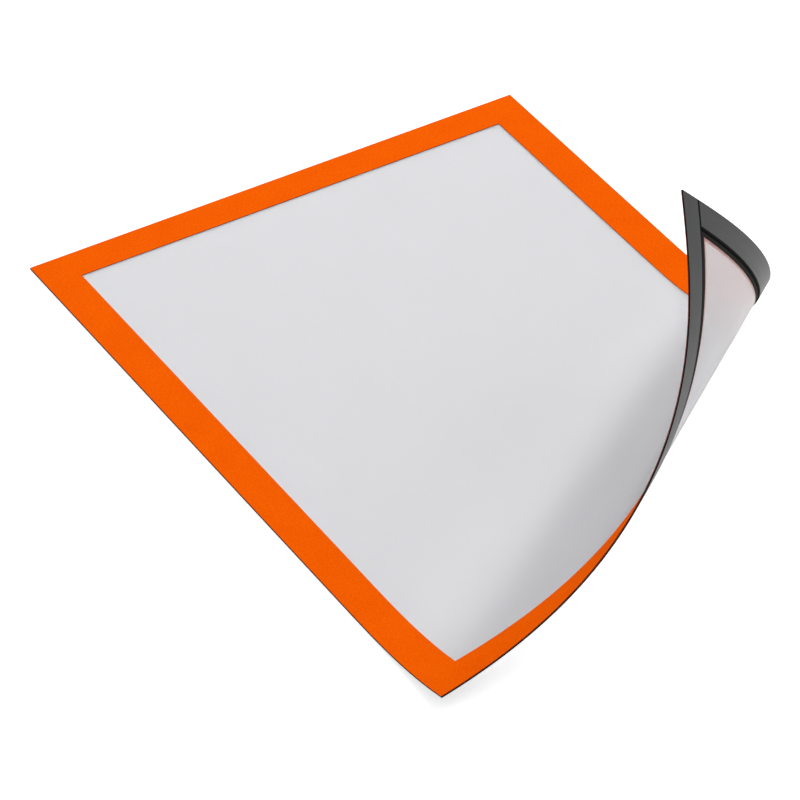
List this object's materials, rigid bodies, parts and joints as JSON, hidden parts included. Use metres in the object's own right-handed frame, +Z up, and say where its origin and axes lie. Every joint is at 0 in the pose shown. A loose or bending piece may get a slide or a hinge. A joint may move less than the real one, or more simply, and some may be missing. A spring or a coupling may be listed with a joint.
{
  "type": "magnetic document pocket",
  "caption": "Flat bendable A4 document pocket with a coloured border, a clear matt window and magnetic strips on its back, shown with a corner rolled up.",
  "frame": {"origin": "middle of the box's underside, which is also the middle of the unrolled outline, on the ground under the magnetic strips", "axes": "+X along the short sides towards the side with the rolled corner, +Y along the long sides away from the rolled corner, +Z up, out of the pocket's front"},
  "size_m": [0.2364, 0.3225, 0.118],
  "materials": {
    "frame_orange": "satin orange film with a fine grain and dark cut edges",
    "film_clear": "clear film with a matt, glare-free surface",
    "backing_dark": "matt near-black film",
    "magnet_grey": "smooth satin dark grey magnetic sheet"
  },
  "bodies": {
    "root": {"front_frame": "frame_orange", "window_film": "film_clear", "backing_frame": "backing_dark", "magnet_strip_near": "magnet_grey", "magnet_strip_far": "magnet_grey", "magnet_strip_left": "magnet_grey", "magnet_strip_right": "magnet_grey"}
  },
  "joints": []
}
